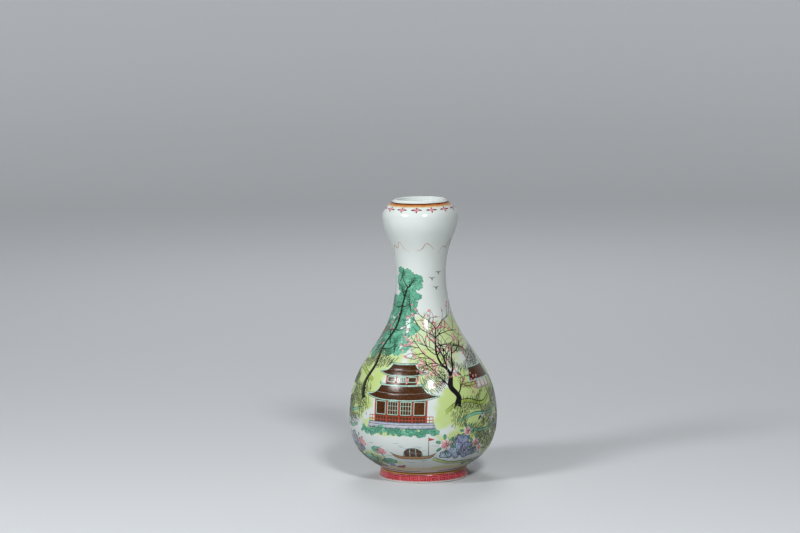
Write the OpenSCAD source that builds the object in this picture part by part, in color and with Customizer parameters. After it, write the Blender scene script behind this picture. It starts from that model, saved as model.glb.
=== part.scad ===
// Garlic-head vase: a pear-shaped porcelain bottle whose neck swells into a bulb below the lip.
// Five thrown clay sections are luted with slip, coated with glaze and finished with enamel bands.
// Every piece is a ring around the Z axis. The origin is the middle of the plane the foot rests on.

/* [Foot] */
// Radius of the foot's outer face where it meets the belly
foot_top_r = 31.9; // [28:0.1:38]
// How far the foot spreads from there to the resting plane
foot_flare = 1.4; // [0:0.1:4]
// Height of the foot's outer face
foot_h = 7.4; // [6:0.1:11]
// Width of the rim that touches the table
foot_rim_w = 4.4; // [3:0.1:8]
// Depth of the hollow under the base
foot_depth = 4.6; // [3:0.1:5.5]
// Bevel that softens the rim's edges
foot_bevel = 0.6; // [0.2:0.1:1]
// Height of the unglazed edge at the bottom of the foot
bare_h = 0.7; // [0.7:0.1:1.5]

/* [Belly] */
// Greatest radius of the belly
belly_r = 54.9; // [46:0.1:65]
// Height from the top of the foot to the greatest radius
belly_rise = 37.6; // [28:0.1:50]
// Angle at which the belly leaves the foot, above the horizontal
heel_angle = 42; // [30:1:60]
// How far the belly keeps that angle, as a share of its rise
heel_fullness = 0.28; // [0.15:0.01:0.4]
// How far the wall stays upright below the greatest radius, as a share of the rise
belly_fullness = 0.72; // [0.4:0.01:0.8]

/* [Neck] */
// Smallest radius of the neck
neck_r = 18.5; // [16.5:0.1:24]
// Height from the greatest radius of the belly to the smallest radius of the neck
shoulder_rise = 107.3; // [80:0.1:140]
// How far the wall stays upright above the belly, as a share of the rise
shoulder_fullness = 0.467; // [0.3:0.001:0.6]
// How far the wall stays upright below the narrow point, as a share of the rise
neck_fullness = 0.526; // [0.3:0.001:0.6]

/* [Garlic head] */
// Greatest radius of the bulb
head_r = 28.1; // [25:0.1:34]
// Height from the narrow point of the neck to the greatest radius of the bulb
head_rise = 42.3; // [34:0.1:55]
// How far the wall stays upright above the narrow point, as a share of the rise
throat_fullness = 0.53; // [0.3:0.01:0.65]
// How far the wall stays upright below the greatest radius, as a share of the rise
head_fullness = 0.3; // [0.15:0.01:0.5]
// Height from the greatest radius of the bulb to the line where the lip stands up
crown_rise = 11.3; // [10:0.1:18]
// How far the wall stays upright above the greatest radius, as a share of the crown's rise
crown_fullness = 0.37; // [0.25:0.01:0.6]
// Angle at which the crown meets the lip, above the horizontal
crown_angle = 42; // [10:1:50]
// How far the crown keeps that angle, as a share of its width
crown_reach = 0.78; // [0.3:0.01:0.85]

/* [Mouth] */
// Radius of the line where the lip stands up from the crown
lip_base_r = 20.7; // [20.2:0.1:22.5]
// Height of the lip above that line
lip_rise = 1.7; // [1.2:0.1:3]
// Thickness of the rounded lip
lip_t = 3.2; // [2.6:0.1:3.8]
// Radius of the mouth's bore
mouth_r = 16.5; // [14.5:0.1:17.2]
// Height of the mouth's straight bore
throat_h = 5; // [4:0.1:7]

/* [Wall] */
// Thickness of the clay wall
wall_t = 3.2; // [2.4:0.1:4.2]
// Thickness of the clay floor
floor_t = 5; // [3.5:0.1:8]
// Width of the slope from the floor to the wall
floor_slope_w = 3; // [1:0.1:8]
// Thickness of the glaze coats
glaze_t = 0.35; // [0.2:0.05:0.5]

/* [Luting joints] */
// Distance of the shoulder's joint below the narrow point of the neck
shoulder_joint_drop = 46; // [30:0.5:60]
// Distance of the head's joint above the narrow point of the neck
head_joint_lift = 19; // [8:0.5:24]
// Thickness of the slip that fills each joint
slip_t = 0.4; // [0.2:0.05:0.7]
// Height of the tongue that registers a section on the one below it
tongue_h = 2.4; // [1.2:0.1:4]

/* [Enamel bands] */
// Thickness of the fired enamel and gilding
enamel_t = 0.24; // [0.1:0.02:0.4]
// Width of the gilt line on the foot's face, below its corner with the belly
foot_line_w = 1.2; // [0.5:0.1:1.8]
// Width of the gilt line on the belly, above that corner
heel_line_w = 1.1; // [0.5:0.1:2]
// Gap of bare glaze below the red band
foot_edge_w = 0.2; // [0.2:0.1:1]
// Width of the brown line at the lip's base
rim_line_w = 1.2; // [0.5:0.1:1.6]
// Width of the ochre band on the crown
rim_band_w = 3.2; // [1.5:0.1:4.5]

/* [Hidden] */
$fn = 128;

clay = "#efece4";
slip = "#dedbd2";
glaze = "#e3ece8";
ruby = "#b8324a";
gilt = "#9a6a28";
ochre = "#cf8a45";
brown = "#5b230c";

// Steps along each curve of the profile
heel_steps = 16;
shoulder_steps = 30;
head_steps = 16;
crown_steps = 10;
lip_steps = 12;

// Heights of the profile's stations
belly_z = foot_h + belly_rise;
neck_z = belly_z + shoulder_rise;
head_z = neck_z + head_rise;
lip_z = head_z + crown_rise;
top_z = lip_z + lip_rise;

// Curves, each from four control points with the tangents upright at the widest and narrowest stations
function bezier(p, t) = pow(1 - t, 3) * p[0] + 3 * t * pow(1 - t, 2) * p[1]
                      + 3 * t * t * (1 - t) * p[2] + pow(t, 3) * p[3];
function bezier_slope(p, t) = pow(1 - t, 2) * (p[1] - p[0]) + 2 * t * (1 - t) * (p[2] - p[1])
                            + t * t * (p[3] - p[2]);
function outward(v) = [v[1], -v[0]] / norm(v);
function miter(a, b) = (a + b) / (1 + a * b);

lip_base = [lip_base_r, lip_z];
heel_curve = [[foot_top_r, foot_h],
              [foot_top_r, foot_h] + heel_fullness * belly_rise * [cos(heel_angle), sin(heel_angle)],
              [belly_r, belly_z - belly_fullness * belly_rise],
              [belly_r, belly_z]];
shoulder_curve = [[belly_r, belly_z],
                  [belly_r, belly_z + shoulder_fullness * shoulder_rise],
                  [neck_r, neck_z - neck_fullness * shoulder_rise],
                  [neck_r, neck_z]];
head_curve = [[neck_r, neck_z],
              [neck_r, neck_z + throat_fullness * head_rise],
              [head_r, head_z - head_fullness * head_rise],
              [head_r, head_z]];
crown_curve = [[head_r, head_z],
               [head_r, head_z + crown_fullness * crown_rise],
               lip_base + crown_reach * (head_r - lip_base_r) * [1, -tan(crown_angle)],
               lip_base];

// The lip's rounded crest and the tangent that rises to it from the lip's base
crest_r = lip_t / 2;
crest = [mouth_r + crest_r, top_z - crest_r];
lip_reach = lip_base - crest;
crest_start = atan2(lip_reach[1], lip_reach[0]) + acos(crest_r / norm(lip_reach));
function crest_arc(from, to, depth) =
    [for (i = [0:lip_steps])
        let (angle = from + (to - from) * i / lip_steps)
        crest + (crest_r - depth) * [cos(angle), sin(angle)]];

// The foot's outer face at a depth below the glazed surface
foot_r = foot_top_r + foot_flare;
foot_slope = -foot_flare / foot_h;
foot_normal = outward([-foot_flare, foot_h]);
function foot_face(z, depth) = [foot_r + foot_slope * z - depth / foot_normal[0], z];

// Stations of the wall from the top of the foot to the lip's base, with their outward normals.
// The first and last stations are corners, whose mitred normals keep every offset parallel.
function curve_points(p, steps) = [for (i = [1:steps]) bezier(p, i / steps)];
function curve_normals(p, steps) = [for (i = [1:steps]) outward(bezier_slope(p, i / steps))];
points = concat([[foot_top_r, foot_h]],
                curve_points(heel_curve, heel_steps), curve_points(shoulder_curve, shoulder_steps),
                curve_points(head_curve, head_steps), curve_points(crown_curve, crown_steps));
smooth_normals = concat([miter(foot_normal, outward(bezier_slope(heel_curve, 0)))],
                        curve_normals(heel_curve, heel_steps),
                        curve_normals(shoulder_curve, shoulder_steps),
                        curve_normals(head_curve, head_steps),
                        curve_normals(crown_curve, crown_steps));
last = len(points) - 1;
normals = [for (i = [0:last]) i < last ? smooth_normals[i]
                                       : miter(smooth_normals[i], [cos(crest_start), sin(crest_start)])];

// Stations that pieces begin and end at
belly_station = heel_steps;
shoulder_station = lookup(neck_z - shoulder_joint_drop, [for (i = [0:last]) [points[i][1], i]]);
head_station = lookup(neck_z + head_joint_lift, [for (i = [0:last]) [points[i][1], i]]);

// A point of the wall at a station that may lie between two, and at a depth below the glazed surface
function offset_point(i, depth) = points[i] - depth * normals[i];
function wall_point(k, depth) =
    let (i = min(floor(k), last - 1), share = k - i)
    (1 - share) * offset_point(i, depth) + share * offset_point(i + 1, depth);
function wall_run(from, to, depth) =
    concat([wall_point(from, depth)],
           [for (i = [floor(from) + 1:1:ceil(to) - 1]) offset_point(i, depth)],
           [wall_point(to, depth)]);
function reversed(list) = [for (i = [len(list) - 1:-1:0]) list[i]];
// Stations that a length along the wall spans
function span(k, length) =
    let (i = min(floor(k), last - 1))
    length / norm(points[i + 1] - points[i]);

// Depths of the clay wall's faces, and of the tongue in its middle
clay_out = glaze_t;
clay_in = glaze_t + wall_t;
glaze_in = clay_in + glaze_t;
tongue_in = clay_out + (wall_t + slip_t) / 2;
tongue_out = clay_out + (wall_t - slip_t) / 2;

// Stations of a joint: the lower section's edge outside and its tongue's end inside,
// and the next section's edges one slip thickness above them
function tongue_end(k) = k + span(k, tongue_h);
function socket_edge(k) = k + span(k, slip_t);
function socket_end(k) = tongue_end(k) + span(k, slip_t);

// The stepped face on top of a section, whose inner half stands up as a tongue, from outside to inside
function tongue_face(k) =
    concat([wall_point(k, clay_out)],
           wall_run(k, tongue_end(k), tongue_in),
           [wall_point(tongue_end(k), clay_in)]);
// The stepped face under the next section, from outside to inside
function socket_face(k) =
    concat([wall_point(socket_edge(k), clay_out)],
           wall_run(socket_edge(k), socket_end(k), tongue_out),
           [wall_point(socket_end(k), clay_in)]);

// The floor and the hollow below it
floor_z = foot_depth + floor_t;
foot_in_r = foot_r - foot_rim_w;
function floor_station(depth, z) = lookup(z, [for (i = [1:belly_station]) [offset_point(i, depth)[1], i]]);
function floor_line(depth, z) =
    let (wall = wall_point(floor_station(depth, z), depth))
    [[0, z], [wall[0] - floor_slope_w, z]];

// The lower end of the mouth's bore, and the curve inside the crown that leads from the bulb to it
throat_z = crest[1] - throat_h;
bulb_station = last - crown_steps;
function inner_crown(depth, coat) =
    let (bulb = offset_point(bulb_station, depth), mouth = [mouth_r + glaze_t - coat, throat_z - coat])
    curve_points([bulb, bulb + [0, crown_fullness * (mouth[1] - bulb[1])],
                  mouth + [crown_reach * (bulb[0] - mouth[0]), 0], mouth], crown_steps);

module ring(outline) {
    rotate_extrude() polygon(outline);
}

// A clay section between two luting joints
module thrown_section(low, high) {
    color(clay)
        ring(concat(reversed(socket_face(low)),
                    wall_run(socket_edge(low), high, clay_out),
                    tongue_face(high),
                    reversed(wall_run(socket_end(low), tongue_end(high), clay_in))));
}

// The slip between the faces of a luting joint
module luting_slip(k) {
    color(slip) ring(concat(tongue_face(k), reversed(socket_face(k))));
}

// A band of enamel on the wall between two stations
module wall_band(low, high) {
    ring(concat(wall_run(low, high, -enamel_t), reversed(wall_run(low, high, 0))));
}

module foot_ring() {
    top = foot_depth - slip_t;
    color(clay)
        ring([[foot_in_r + foot_bevel, 0], foot_face(0, clay_out) - [foot_bevel, 0],
              foot_face(foot_bevel, clay_out), foot_face(top, clay_out),
              [foot_in_r, top], [foot_in_r, foot_bevel]]);
}

module foot_slip() {
    low = foot_depth - slip_t;
    color(slip)
        ring([[foot_in_r, low], foot_face(low, clay_out), foot_face(foot_depth, clay_out),
              [foot_in_r, foot_depth]]);
}

module lower_belly() {
    floor_end = floor_station(clay_in, floor_z);
    color(clay)
        ring(concat([[0, foot_depth], foot_face(foot_depth, clay_out)],
                    wall_run(0, belly_station, clay_out),
                    tongue_face(belly_station),
                    reversed(wall_run(floor_end, tongue_end(belly_station), clay_in)),
                    reversed(floor_line(clay_in, floor_z))));
}

module belly_slip() {
    luting_slip(belly_station);
}

module upper_belly() {
    thrown_section(belly_station, shoulder_station);
}

module shoulder_slip() {
    luting_slip(shoulder_station);
}

module neck() {
    thrown_section(shoulder_station, head_station);
}

module head_slip() {
    luting_slip(head_station);
}

// The bulb with its lip, whose crest is glazed from both sides
module garlic_head() {
    color(clay)
        ring(concat(reversed(socket_face(head_station)),
                    wall_run(socket_edge(head_station), last, clay_out),
                    crest_arc(crest_start, 180, glaze_t),
                    reversed(inner_crown(clay_in, 0)),
                    reversed(wall_run(socket_end(head_station), bulb_station, clay_in))));
}

// The coat from the bare edge of the foot over the wall to the crest of the lip
module outer_glaze() {
    color(glaze)
        ring(concat([foot_face(bare_h, 0)], wall_run(0, last, 0), crest_arc(crest_start, 90, 0),
                    reversed(crest_arc(crest_start, 90, glaze_t)), reversed(wall_run(0, last, glaze_t)),
                    [foot_face(bare_h, glaze_t)]));
}

// The coat from the crest of the lip down the bore and the inside of the wall to the floor
module inner_glaze() {
    clay_end = floor_station(clay_in, floor_z);
    glaze_end = floor_station(glaze_in, floor_z + glaze_t);
    color(glaze)
        ring(concat(crest_arc(90, 180, 0), reversed(inner_crown(glaze_in, glaze_t)),
                    reversed(wall_run(glaze_end, bulb_station, glaze_in)),
                    reversed(floor_line(glaze_in, floor_z + glaze_t)),
                    floor_line(clay_in, floor_z),
                    wall_run(clay_end, bulb_station, clay_in),
                    inner_crown(clay_in, 0), reversed(crest_arc(90, 180, glaze_t))));
}

// The coat in the hollow under the base
module base_glaze() {
    glazed_r = foot_in_r - glaze_t;
    color(glaze)
        ring([[0, foot_depth - glaze_t], [glazed_r, foot_depth - glaze_t], [glazed_r, bare_h],
              [foot_in_r, bare_h], [foot_in_r, foot_depth], [0, foot_depth]]);
}

module foot_red_band() {
    low = bare_h + foot_edge_w;
    high = foot_h - foot_line_w;
    color(ruby)
        ring([foot_face(low, 0), foot_face(low, -enamel_t), foot_face(high, -enamel_t), foot_face(high, 0)]);
}

// The gilt line in the corner between the foot and the belly
module foot_gilt_line() {
    low = foot_h - foot_line_w;
    high = span(0, heel_line_w);
    color(gilt)
        ring(concat([foot_face(low, 0), foot_face(low, -enamel_t)],
                    wall_run(0, high, -enamel_t), reversed(wall_run(0, high, 0))));
}

// The ochre band on the crown, which ends at the brown line
module rim_ochre_band() {
    top = last - span(last, rim_line_w);
    color(ochre) wall_band(top - span(top, rim_band_w), top);
}

module rim_brown_line() {
    color(brown) wall_band(last - span(last, rim_line_w), last);
}

foot_ring();
lower_belly();
upper_belly();
neck();
garlic_head();
foot_slip();
belly_slip();
shoulder_slip();
head_slip();
outer_glaze();
inner_glaze();
base_glaze();
foot_red_band();
foot_gilt_line();
rim_brown_line();
rim_ochre_band();
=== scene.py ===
"""Looks of a garlic-head vase: glossy white glaze, fired bands and florets, and a painted waterside garden.

Paint is laid out on a canvas wrapped round the vase. A canvas point is (turn, climb): turn is the angle in
radians from the front, growing to the viewer's right, and climb is the way up the glazed surface in mm.
"""
import math

import bpy
import numpy as np
from mathutils import Matrix, Vector
from numpy.random import default_rng


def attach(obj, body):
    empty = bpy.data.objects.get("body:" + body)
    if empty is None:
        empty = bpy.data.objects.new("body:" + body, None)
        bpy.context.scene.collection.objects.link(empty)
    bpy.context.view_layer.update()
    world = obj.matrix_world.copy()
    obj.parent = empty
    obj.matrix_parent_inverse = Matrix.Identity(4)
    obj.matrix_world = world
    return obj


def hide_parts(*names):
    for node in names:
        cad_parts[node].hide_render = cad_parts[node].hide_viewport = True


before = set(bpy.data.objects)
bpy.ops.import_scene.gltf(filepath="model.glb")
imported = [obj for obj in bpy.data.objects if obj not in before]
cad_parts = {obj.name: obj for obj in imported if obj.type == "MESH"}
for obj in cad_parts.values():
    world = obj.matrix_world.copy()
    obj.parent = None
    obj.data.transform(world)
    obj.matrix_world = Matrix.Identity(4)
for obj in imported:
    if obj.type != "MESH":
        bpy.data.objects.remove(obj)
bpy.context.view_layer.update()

MM = 0.001
TAU = 2 * math.pi


# The glazed surface

def turns_along(walk):
    """The turn in radians at each inner point of a walk."""
    steps = np.diff(walk, axis=0)
    return np.diff(np.unwrap(np.arctan2(steps[:, 1], steps[:, 0])))


def seam_walk(node):
    """The cross-section of a ring-shaped node along its seam, as (radius, height) points in mm.

    It starts at the lowest, outermost end and goes up. Points along a straight stretch are left out.
    """
    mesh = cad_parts[node].data
    places = np.array([v.co for v in mesh.vertices]) / MM
    angles = np.round(np.arctan2(places[:, 1], places[:, 0]), 4)
    values, counts = np.unique(angles, return_counts=True)
    points = {}
    for i in np.flatnonzero(angles == values[counts.argmax()]):
        points[i] = (round(math.hypot(*places[i, :2]), 4), round(float(places[i, 2]), 4))
    links = {}
    for a, b in mesh.edge_keys:
        if a in points and b in points and points[a] != points[b]:
            links.setdefault(points[a], set()).add(points[b])
            links.setdefault(points[b], set()).add(points[a])
    ends = [p for p in links if len(links[p]) == 1]
    walk = [min(ends or links, key=lambda p: (p[1], -p[0]))]
    while ahead := [p for p in links[walk[-1]] if p not in walk]:
        walk.append(max(ahead, key=lambda p: p[1]))
    walk, straight = np.array(walk), math.radians(0.03)
    bends = np.abs(turns_along(walk)) > straight
    return walk[np.concatenate([[True], bends, [True]])]


def way_along(line):
    """The length of a line from its start to each of its points."""
    return np.concatenate([[0], np.cumsum(np.linalg.norm(np.diff(line, axis=0), axis=1))])


def spline(points, step):
    """Points on a natural cubic spline through the given ones, about a step apart."""
    knots = way_along(points)
    gaps = np.diff(knots)
    slopes = np.diff(points, axis=0) / gaps[:, None]
    system = np.eye(len(points))
    right = np.zeros_like(points)
    for i in range(1, len(points) - 1):
        system[i, i - 1:i + 2] = gaps[i - 1], 2 * (gaps[i - 1] + gaps[i]), gaps[i]
        right[i] = 6 * (slopes[i] - slopes[i - 1])
    bends = np.linalg.solve(system, right)
    at = np.linspace(0, knots[-1], max(2, round(knots[-1] / step) + 1))
    i = np.clip(np.searchsorted(knots, at, side="right") - 1, 0, len(gaps) - 1)
    after, before, gap = (at - knots[i])[:, None], (knots[i + 1] - at)[:, None], gaps[i][:, None]
    return ((bends[i] * before ** 3 + bends[i + 1] * after ** 3) / (6 * gap)
            + (points[i] / gap - bends[i] * gap / 6) * before
            + (points[i + 1] / gap - bends[i + 1] * gap / 6) * after)


def smooth_stretches(walk, step, corner=math.radians(30)):
    """Fine points along a walk, smooth except at its corners. Gives the points and the corners' numbers."""
    cuts = [0, *(np.flatnonzero(np.abs(turns_along(walk)) > corner) + 1), len(walk) - 1]
    fine, corners = [walk[:1]], []
    for a, b in zip(cuts, cuts[1:]):
        fine.append(spline(walk[a:b + 1], step)[1:])
        corners.append(sum(map(len, fine)) - 1)
    return np.vstack(fine), corners[:-1]


FINE_STEP = 0.1
glaze_walk = seam_walk("outer_glaze")
glaze_walk = glaze_walk[:glaze_walk[:, 1].argmax() + 1]
skin, skin_corners = smooth_stretches(glaze_walk, FINE_STEP)
CLIMB = way_along(skin)
RADIUS, HEIGHT = skin.T
along = np.gradient(skin, axis=0)
NORMAL = np.stack([along[:, 1], -along[:, 0]], 1) / np.linalg.norm(along, axis=1)[:, None]


def around(turn, radius, height):
    """Places in metres from turns and from sizes in mm."""
    return np.stack([radius * np.sin(turn), -radius * np.cos(turn), height], -1) * MM


def even_turns(count):
    return np.arange(count) * TAU / count


def cos_sin(degrees):
    return math.cos(math.radians(degrees)), math.sin(math.radians(degrees))


def radius_at(climb):
    return np.interp(climb, CLIMB, RADIUS)


def climb_to(height):
    """The climb at a height in mm above the table."""
    return np.interp(height, HEIGHT, CLIMB)


LIP_BASE = 205.9  # height in mm
FOOT_CLIMB, LIP_CLIMB = CLIMB[skin_corners[0]], climb_to(LIP_BASE)


def profile(climb, lift):
    """Radius and height in mm, at a lift in mm above the glaze."""
    radius = radius_at(climb) + lift * np.interp(climb, CLIMB, NORMAL[:, 0])
    return radius, np.interp(climb, CLIMB, HEIGHT) + lift * np.interp(climb, CLIMB, NORMAL[:, 1])


# Colours and materials

def ink(code):
    """Linear red, green and blue from a hex colour."""
    parts = np.array([int(code[i:i + 2], 16) for i in (0, 2, 4)]) / 255
    return np.where(parts > 0.04045, ((parts + 0.055) / 1.055) ** 2.4, parts / 12.92)


def inks(codes):
    return [ink(code) for code in codes.split()]


GLAZE = ink("e3ece9")
LIME, LIME_DEEP, OLIVE = inks("cae18e a9c45a 47542c")
TURQUOISE, TURQUOISE_LIGHT, TURQUOISE_DEEP = inks("62b292 7fcaab 2b7560")
TURQUOISE_PALE, STALK, INK_GREEN = inks("b9dfd0 8fb860 27362b")
BROWN, BROWN_LIGHT, BROWN_DARK = inks("5a3416 8a5a30 2c170a")
BLACK, TWIG, BARK, GREY = inks("1b1a1c 1f3a33 2e2620 a9adab")
ROSE, ROSE_PALE, RUBY = inks("d0617a efbcc0 ae2440")
LILAC, BLUE, BLUE_DARK = inks("a9b2d8 6f80bb 3c4778")
IRON_RED, RIDGE_RED, WHITE = inks("b9452f cfa593 eef0ea")
YELLOW, YELLOW_PALE, GILT = inks("e0bb4c e6cf9a e2a04e")
OCHRE, OCHRE_PALE, OCHRE_DEEP = inks("d08d50 cdb083 c0703a")
RIM_BROWN, FLORET, FLORET_DARK = inks("5a2812 d25363 6c0f27")
FOOT_ROSE, FRET_GOLD = inks("cc2f49 e8968a")


def new_material(name, **sockets):
    """A material with one Principled shader, whose constant inputs are set on its own sockets."""
    material = bpy.data.materials.new(name)
    material.use_nodes = True
    shader = material.node_tree.nodes["Principled BSDF"]
    for socket, value in sockets.items():
        shader.inputs[socket.replace("_", " ")].default_value = value
    return material, material.node_tree, shader


def add_node(tree, kind, links=(), **settings):
    """A shader node with its settings and inputs filled in; a value that is an output is linked."""
    node = tree.nodes.new("ShaderNode" + kind)
    for key, value in settings.items():
        setattr(node, key, value)
    for socket, value in dict(links).items():
        if isinstance(value, bpy.types.NodeSocket):
            tree.links.new(value, node.inputs[socket])
        else:
            node.inputs[socket].default_value = value
    return node


def noise(tree, scale, detail=4.0):
    place = add_node(tree, "TexCoord").outputs["Object"]
    links = {"Vector": place, "Scale": scale, "Detail": detail, "Roughness": 0.55}
    return add_node(tree, "TexNoise", links).outputs["Fac"]


def spread(tree, value, low, high):
    """The value's middle range, taken to low and high."""
    links = {"Value": value, "From Min": 0.3, "From Max": 0.7, "To Min": low, "To Max": high}
    return add_node(tree, "MapRange", links).outputs["Result"]


def tint(tree, colour, factor):
    """The colour made lighter or darker by a factor around 1."""
    links = {0: 1.0, 6: colour, 7: factor}
    return add_node(tree, "Mix", links, data_type="RGBA", blend_type="MULTIPLY").outputs[2]


def bump(tree, shader, height, distance):
    node = add_node(tree, "Bump", {"Height": height, "Distance": distance, "Strength": 1.0})
    tree.links.new(node.outputs["Normal"], shader.inputs["Normal"])


def fired_material(name, roughness, mottle, scale, relief, colour=None, **sockets):
    """A fired surface whose tone, gloss and relief wander. Without a colour it shows its paint."""
    material, tree, shader = new_material(name, **sockets)
    painted = colour is None
    if painted:
        colour = add_node(tree, "Attribute", attribute_name="paint").outputs["Color"]
    finer, glossy, dull, grain, detail = (3, 0.7, 1.4, 45.0, 2.0) if painted else (2, 0.8, 1.25, 900.0, 4.0)
    tone = spread(tree, noise(tree, scale), 1 - mottle, 1 + mottle / 2)
    tree.links.new(tint(tree, colour, tone), shader.inputs["Base Color"])
    gloss = spread(tree, noise(tree, scale * finer), roughness * glossy, roughness * dull)
    tree.links.new(gloss, shader.inputs["Roughness"])
    bump(tree, shader, noise(tree, grain, detail), relief * MM)
    return material


glaze_material = fired_material("white_glaze", 0.09, 0.035, 28.0, 0.10, IOR=1.5)
enamel_material = fired_material("overglaze_enamel", 0.16, 0.22, 420.0, 0.06, IOR=1.52)
band_material = fired_material("rose_enamel", 0.18, 0.35, 600.0, 0.06, IOR=1.52)
brown_material = fired_material("brown_enamel", 0.2, 0.6, 800.0, 0.06, IOR=1.52)
gilt_material = fired_material("fired_gilding", 0.32, 0.25, 700.0, 0.05, Metallic=0.2)
clay_material = fired_material("bare_porcelain", 0.72, 0.10, 160.0, 0.03, (*ink("e9e3d6"), 1))
slip_material = fired_material("luting_slip", 0.8, 0.12, 220.0, 0.05, (*ink("d9d4c8"), 1))
lining_material = fired_material("inner_glaze", 0.08, 0.05, 40.0, 0.01, (*GLAZE, 1))


# Meshes

def add_object(name, data):
    thing = bpy.data.objects.new(name, data)
    bpy.context.scene.collection.objects.link(thing)
    return thing


def add_mesh(name, places, faces, material):
    mesh = bpy.data.meshes.new(name)
    mesh.from_pydata(places, [], faces)
    mesh.materials.append(material)
    mesh.shade_smooth()
    return add_object(name, mesh)


SHARP_BEND = math.radians(50)


def make_piece(name, places, faces, colours, material, stands_for=()):
    """A smooth mesh piece with its paint, riding on the vase."""
    piece = add_mesh(name, places.tolist(), faces, material)
    paint = piece.data.attributes.new("paint", "FLOAT_COLOR", "POINT")
    paint.data.foreach_set("color", np.hstack([colours, np.ones((len(colours), 1))]).ravel())
    piece.data.set_sharp_from_angle(angle=SHARP_BEND)
    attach(piece, "root")
    if stands_for:
        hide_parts(*stands_for)


def quads(index):
    """Faces of a grid of vertex numbers."""
    corners = index[:-1, :-1], index[:-1, 1:], index[1:, 1:], index[1:, :-1]
    return np.stack(corners, -1).reshape(-1, 4)


def ring_faces(rows, columns):
    """Quads of a tube whose cross-section is a closed loop of rows."""
    index = np.arange(rows * columns).reshape(rows, columns)
    return quads(np.pad(index, (0, 1), mode="wrap")).tolist()


def revolve(name, loop, columns, colour_at, material, stands_for):
    """A glazed ring from a closed loop of (radius, height) points in mm, up its outer side first."""
    radius, height = np.repeat(loop, columns, axis=0).T
    turn = np.tile(even_turns(columns), len(loop))
    make_piece(name, around(turn, radius, height), ring_faces(len(loop), columns), colour_at(turn),
               material, [stands_for])


def mix(a, b, share):
    share = np.clip(np.asarray(share), 0, 1)[..., None]
    return a * (1 - share) + b * share


# Washes, the soft pale colour under the brushwork

def wobble(turn, climb, seed, size):
    """A smooth field from about -1 to 1 that runs unbroken round the vase; size is its grain in mm."""
    rng, terms, girth = default_rng(seed), 7, 260
    field = np.zeros_like(turn)
    for _ in range(terms):
        waves = rng.integers(1, max(3, round(girth / size)))
        field += np.sin(waves * turn + rng.uniform(-1, 1) * TAU * climb / size + rng.uniform(0, TAU))
    return field / (terms / 2)


# Each wash of lime: angle in degrees, height, half width and half height in mm, strength
WASHES = [
    (62, 58, 46, 30, 0.95), (38, 34, 30, 11, 0.9), (84, 28, 26, 12, 0.85),
    (24, 104, 24, 22, 0.6), (52, 108, 14, 16, 0.55), (58, 13, 34, 4, 0.7),
    (-86, 68, 38, 26, 0.95), (-58, 92, 26, 14, 0.8), (-66, 19, 34, 8, 0.85),
    (-20, 46, 36, 7, 0.8), (4, 86, 16, 16, 0.7), (-16, 12, 24, 3, 0.5),
    (148, 62, 48, 28, 0.9), (200, 36, 36, 16, 0.9), (-130, 42, 42, 22, 0.85),
    (118, 94, 22, 16, 0.7), (-152, 98, 24, 18, 0.65), (180, 13, 40, 4, 0.6),
]


def wash_colours(turn, climb):
    colours = np.tile(GLAZE, (len(turn), 1))
    edge = wobble(turn, climb, 3, 22) * 0.22 + wobble(turn, climb, 4, 9) * 0.12
    for angle, height, half_w, half_h, strength in WASHES:
        away = np.angle(np.exp(1j * (turn - math.radians(angle)))) * radius_at(climb) / half_w
        reach = np.hypot(away, (climb - climb_to(height)) / half_h) + edge
        cover = np.clip((1.1 - reach) / 0.26, 0, 1)
        colours = mix(colours, LIME, strength * cover * cover * (3 - 2 * cover))
    return colours


def glaze_skin():
    """The outer glaze, finely meshed where it is painted, with the washes in it."""
    painted_to, fine, coarse, depth = climb_to(150), 0.8, 1.6, 0.3
    corners = {0.0, FOOT_CLIMB, LIP_CLIMB, CLIMB[-1]}
    climbs = np.array(sorted(corners | set(np.arange(fine, painted_to, fine))
                             | set(np.arange(painted_to, CLIMB[-1], coarse))))
    back = np.array(sorted(corners | set(np.linspace(0, CLIMB[-1], 60))))[::-1]
    rows, columns = np.concatenate([climbs, back]), 310
    loop = np.stack(profile(rows, np.repeat([0, -depth], [len(climbs), len(back)])), 1)
    revolve("glaze_skin", loop, columns, lambda turn: wash_colours(turn, np.repeat(rows, columns)),
            glaze_material, "outer_glaze")


def lining():
    """The glaze inside the lip, neck and belly."""
    walk = seam_walk("inner_glaze")
    top = walk[:, 1].argmax()
    step, columns, middle = 1.5, 160, np.array([0.01, 1.0])
    hidden, shown = walk[:top], smooth_stretches(walk[top:], step)[0]
    loop = np.vstack([hidden[0] * middle, hidden, shown, shown[-1] * middle])
    revolve("glaze_lining", loop, columns, lambda turn: np.tile(GLAZE, (len(turn), 1)),
            lining_material, "inner_glaze")


glaze_skin()
lining()
for node in ("foot_ring", "lower_belly", "upper_belly", "neck", "garlic_head"):
    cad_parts[node].data.materials[0] = clay_material
for node in ("foot_slip", "belly_slip", "shoulder_slip", "head_slip"):
    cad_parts[node].data.materials[0] = slip_material
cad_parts["base_glaze"].data.materials[0] = lining_material


# Brushwork

SUNK, UNDER = -0.03, -0.08  # lifts in mm of a patch's edge and of its hidden underside
EDGE, MESH = 0.22, 1.75  # in mm, the sloping edge of a patch and the largest mesh step inside it


class Spot:
    """A place to paint at. It takes local points in mm, x to the right and y up, to the canvas."""

    def __init__(self, angle, height, size=1.0, mirror=False):
        self.turn, self.climb = math.radians(angle), climb_to(height)
        self.scale = np.array([-size if mirror else size, size])

    def __call__(self, points):
        x, y = (np.asarray(points, float) * self.scale).T
        climb = self.climb + y
        return np.stack([self.turn + x / radius_at(climb), climb], 1)


def at_shares(points, shares):
    """Points at shares of the way along a line."""
    points = np.asarray(points, float)
    way = way_along(points)
    return np.stack([np.interp(shares * way[-1], way, column) for column in points.T], 1)


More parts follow.
